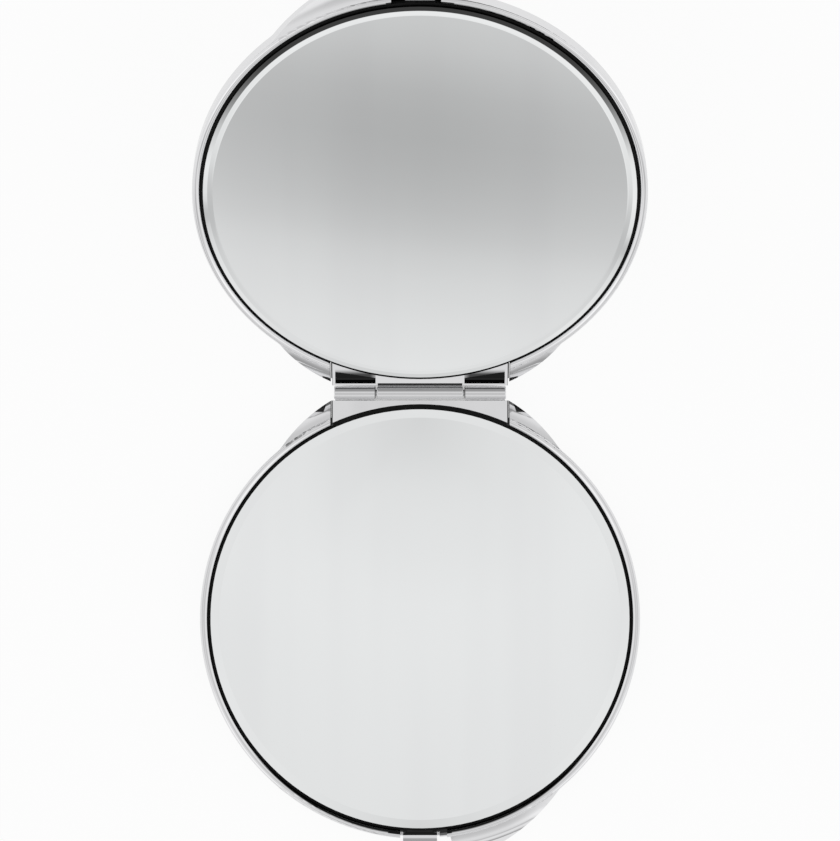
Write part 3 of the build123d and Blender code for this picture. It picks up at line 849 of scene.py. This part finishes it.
@dataclass(frozen=True)
class Steel(Finish):
    """Bright drawn steel with fine lines along the hinge."""

    colour: Colour = (0.60, 0.60, 0.61, 1)
    line_colour: Colour = (0.48, 0.48, 0.49, 1)
    lines: Grain = Grain(1500, 3, (0.05, 1, 1))
    line_height: float = 0.004 * MM
    roughness: float = 0.18
    line_roughness: float = 0.15

    def sockets(self, graph: Graph) -> dict[str, Input]:
        """The shader's inputs."""
        lines = graph.noise(graph.object_place(), self.lines)
        return {
            "Base Color": graph.mix(lines, self.colour, self.line_colour),
            "Metallic": 1.0,
            "Roughness": lines * self.line_roughness + self.roughness,
            "Normal": graph.bump(lines, self.line_height),
        }


BASE_SHELL_CHROME = RimmedChrome(
    "rimmed_chrome_base", centre=BASE_CENTRE, catch_way=-1, corner_darkness=1.0
)
LID_SHELL_CHROME = RimmedChrome(
    "rimmed_chrome_lid", centre=LID_CENTRE, tilt=OPEN_TILT, deep_above=(-2.6 * MM, -2.4 * MM)
)
BASE_TRAY_CHROME = TrayChrome("tray_chrome", edge_radius=0.06 * MM)
LID_TRAY_CHROME = PocketedChrome("pocketed_chrome", edge_radius=0.06 * MM, tilt=OPEN_TILT)
BUTTON_CHROME = ButtonChrome("button_chrome")
RUBBER = Rubber("black_rubber")
FOAM = Foam("black_foam")
STEEL = Steel("drawn_steel")


@dataclass
class SubAssembly:
    """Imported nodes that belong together."""

    name: str

    def finishes(self) -> dict[str, Finish]:
        """Choose the finishes.

        Returns:
            The finish of each node, by the node's name.
        """
        raise NotImplementedError

    def dress(self) -> None:
        """Give each node its finish."""
        for node, finish in self.finishes().items():
            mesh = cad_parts[node].data
            mesh.materials.clear()
            mesh.materials.append(finish.material())
            LOG.info("%s: %s in %s", self.name, node, finish.name)


@dataclass
class MirrorHalf(SubAssembly):
    """One half of the compact: shell, tray, glass, bead, pad and tray screws.

    Attributes:
        side: Which half it is.
        shell: The shell's finish.
        tray: The tray's finish.
        bevels: The glass's bevel, as pairs of a radius and the slope added outside it.
        band_start: The radius that the glass's painted dark reflection band begins at, or 0 for
            none.
        tilt: How far the half is turned about X, in radians.
        screws: How many screws hold the tray.
    """

    side: Side
    shell: RimmedChrome
    tray: TrayChrome
    bevels: tuple
    band_start: float = 0.0
    tilt: float = 0.0
    screws: int = 4

    def glass(self) -> Silvered:
        """The finish of this half's glass.

        Returns:
            Silvered glass with its bevel round the glass's own centre.
        """
        low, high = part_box(f"{self.side.value}_mirror")
        centre = tuple((start + end) / 2 for start, end in zip(low, high))
        name = f"silvered_glass_{self.side.value}"
        return Silvered(name, centre, self.tilt, self.bevels, self.band_start)

    def finishes(self) -> dict[str, Finish]:
        """Choose the finishes."""
        chosen = {
            "shell": self.shell,
            "tray": self.tray,
            "mirror": self.glass(),
            "mirror_bead": RUBBER,
            "mirror_pad": FOAM,
        }
        chosen |= {f"tray_screw_{number}": STEEL for number in range(1, self.screws + 1)}
        return {f"{self.side.value}_{piece}": finish for piece, finish in chosen.items()}


@dataclass
class Hinge(SubAssembly):
    """The hinge's steel pin; its knuckles belong to the trays."""

    name: str = "hinge"

    def finishes(self) -> dict[str, Finish]:
        """Choose the finishes."""
        return {"hinge_pin": STEEL}


@dataclass
class Catch(SubAssembly):
    """The push button, its spring, and the hook on the lid."""

    name: str = "catch"

    def finishes(self) -> dict[str, Finish]:
        """Choose the finishes."""
        return {"push_button": BUTTON_CHROME, "button_spring": STEEL, "lid_catch": STEEL}


@dataclass
class Studio:
    """Floor, tent of light and camera.

    Attributes:
        floor_half: Half the floor's side.
        floor_fade: Where the floor turns quite white, by the distance from its middle.
        floor_white: How white it looks in its middle.
        paper: The colour that the floor is lit as.
        hinge_shadow: How much of the floor's own whiteness is taken away under the hinge, as a
            painted shadow patch.
        hinge_across: Where that is, to either side.
        hinge_along: Where that is, along.
        mirrored_floor: How white reflections see the floor.
        side_levels: The tent's light to the left and right.
        front_levels: The same at the front, where the lid's glass looks.
        back_levels: The same behind the object.
        front_slant: How many degrees the front's levels lean from left to right.
        front_turn: How far to the sides the front's levels go, by how far a ray turns from it.
        front_way: Where the front begins.
        corner_boost: How much brighter the tent's front corners are.
        corner_turns: Their two edges, by how far a ray turns from the front.
        corner_heights: Their two edges, by the height above the horizon.
        seam_height: The height of a faint dark seam at the front, in degrees.
        seam_reach: How far it goes up and down, in degrees.
        seam_turn: How far it goes to the sides.
        gap_slope: How much wider the dark behind the object gets towards the horizon.
        gap_edge: Its edge at the zenith.
        back_way: Where the back begins.
    """

    floor_half: float = 0.30
    floor_fade: Step = (0.10, 0.20)
    floor_white: float = 0.92
    paper: Colour = (0.93, 0.93, 0.93, 1)
    hinge_shadow: float = 0.70
    hinge_across: Step = (14.0 * MM, 11.0 * MM)
    hinge_along: Step = (2.4 * MM, 0.9 * MM)
    mirrored_floor: float = 0.75
    side_levels: Levels = (
        (0, 0.92), (12, 0.93), (25, 0.95), (40, 0.85), (55, 0.72), (74, 0.65), (80, 0.70),
        (84, 0.80), (86.5, 0.885), (87, 0.885), (88, 0.86), (89, 0.81), (90, 0.735),
    )
    front_levels: Levels = (
        (0, 0.40), (5, 0.42), (6.5, 0.50), (10, 0.72), (13, 0.90), (18, 0.93), (20, 0.875),
        (21.5, 0.84), (22.1, 0.80), (22.44, 0.765), (22.74, 0.71), (23.04, 0.665), (23.4, 0.625),
        (24.0, 0.58), (24.4, 0.565), (24.8, 0.58), (25.17, 0.605), (25.5, 0.66), (26, 0.70),
        (28, 0.78), (32, 0.86), (38, 0.88), (48, 0.72), (60, 0.61), (74, 0.63), (82, 0.82),
        (86.5, 0.885), (87.3, 0.885), (88, 0.86), (88.8, 0.84), (89.4, 0.79), (90, 0.735),
    )
    back_levels: Levels = (
        (0, 0.10), (14, 0.18), (26, 0.30), (38, 0.36), (56, 0.33), (64, 0.42), (74, 0.62),
        (82, 0.72), (88, 0.74), (90, 0.735),
    )
    front_slant: float = 7.0
    front_turn: Step = (0.75, 0.50)
    front_way: Step = (0.0, -0.02)
    corner_boost: float = 0.30
    corner_turns: tuple = ((0.35, 0.60), (0.98, 0.85))
    corner_heights: tuple = ((0.92, 0.75), (0.20, 0.35))
    seam_height: float = 24.0
    seam_reach: float = 3.2
    seam_turn: Step = (0.075, 0.0)
    seam_darkness: float = 0.09
    gap_slope: float = 0.75
    gap_edge: Step = (0.08, 0.03)
    back_way: Step = (0.005, 0.05)
    camera_place: Place = (0.0, 31.55 * MM, 605.75 * MM)
    camera_clip: tuple = (0.01, 20)
    lens_mm: float = 161.8
    sensor_mm: float = 36.0

    def floor(self) -> None:
        """A pale floor that the camera and reflections see white, with the object's shadow."""
        bpy.ops.mesh.primitive_plane_add(size=2 * self.floor_half)
        plane = bpy.context.object
        plane.name = "floor"
        material = bpy.data.materials.new("pale_floor")
        material.use_nodes = True
        graph = Graph(material.node_tree)
        camera, glossy, through = (
            graph.node("ShaderNodeLightPath", None, None, f"Is {kind} Ray")
            for kind in ("Camera", "Glossy", "Transmission")
        )
        x, y, _ = graph.split(graph.object_place())
        white = distance(x, y).ease(*self.floor_fade) * (1 - self.floor_white) + self.floor_white
        # Painted shadow under the hinge: less white is mixed in on a patch there, so the paper's
        # real shading and shadow show darker.
        hidden = abs(x).ease(*self.hinge_across)
        hidden = hidden * abs(y - HINGE_AXIS[1]).ease(*self.hinge_along) * self.hinge_shadow
        seen = (camera * (1 - hidden)).larger(glossy.larger(through) * self.mirrored_floor)
        paper = graph.node("ShaderNodeBsdfDiffuse", None, {"Color": self.paper})
        light = graph.node("ShaderNodeEmission", None, {"Color": WHITE, "Strength": 1.0})
        mixed = graph.node("ShaderNodeMixShader", None, {0: seen * white, 1: paper, 2: light})
        graph.node("ShaderNodeOutputMaterial", None, {"Surface": mixed})
        plane.data.materials.append(material)

    def world(self) -> None:
        """A soft white tent, dark at its back and low at its front, and white to the camera."""
        world = bpy.data.worlds.new("tent")
        bpy.context.scene.world = world
        world.use_nodes = True
        graph = Graph(world.node_tree)
        x, y, z = graph.split(graph.node("ShaderNodeTexCoord", None, None, "Generated"))
        height = z.arcsine() * (2 / math.pi)
        turn = abs(x) / (1 - z * z).larger(ABOVE_ZERO) ** 0.5
        forward = y.ease(*self.front_way)

        sides = graph.curve(height, self.side_levels)
        front = graph.curve(height + x * (self.front_slant / ZENITH), self.front_levels)
        level = sides + (front - sides) * turn.ease(*self.front_turn) * forward

        corner = forward * self.corner_boost
        for turns, heights in zip(self.corner_turns, self.corner_heights):
            corner = corner * turn.ease(*turns) * height.ease(*heights)
        seam = (height * ZENITH - self.seam_height) / self.seam_reach
        seam = (1 - seam * seam).larger(0) * turn.ease(*self.seam_turn) * forward
        level = level + corner - seam * self.seam_darkness

        back = graph.curve(height, self.back_levels)
        inside = (abs(x) - (1 - z) * self.gap_slope).ease(*self.gap_edge)
        level = level + (back - level) * inside * y.ease(*self.back_way)

        camera = graph.node("ShaderNodeLightPath", None, None, "Is Camera Ray")
        level = level + (1 - level) * camera
        light = graph.node("ShaderNodeBackground", None, {"Color": WHITE, "Strength": level})
        graph.node("ShaderNodeOutputWorld", None, {"Surface": light})

    def camera(self) -> None:
        """The camera straight above the hinge, as the photograph has it."""
        data = bpy.data.cameras.new("camera")
        data.sensor_fit = "HORIZONTAL"
        data.sensor_width = self.sensor_mm
        data.lens = self.lens_mm
        data.clip_start, data.clip_end = self.camera_clip
        camera = bpy.data.objects.new("camera", data)
        camera.location = self.camera_place
        bpy.context.scene.collection.objects.link(camera)
        bpy.context.scene.camera = camera

    def build(self) -> None:
        """Make the studio."""
        bpy.context.scene.view_settings.view_transform = "Standard"
        self.floor()
        self.world()
        self.camera()
        LOG.info("studio: floor, tent and camera")


def main() -> None:
    """Dress the compact and set the studio, in order."""
    logging.basicConfig(level=logging.INFO, format="%(name)s: %(message)s")
    base = MirrorHalf("base half", Side.BASE, BASE_SHELL_CHROME, BASE_TRAY_CHROME, BASE_BEVELS)
    lid = MirrorHalf(
        "lid half", Side.LID, LID_SHELL_CHROME, LID_TRAY_CHROME, LID_BEVELS,
        band_start=LID_BEVELS[1][0], tilt=OPEN_TILT,
    )
    for part in (base, lid, Hinge(), Catch()):
        part.dress()
    Studio().build()


if __name__ == "__main__":
    main()
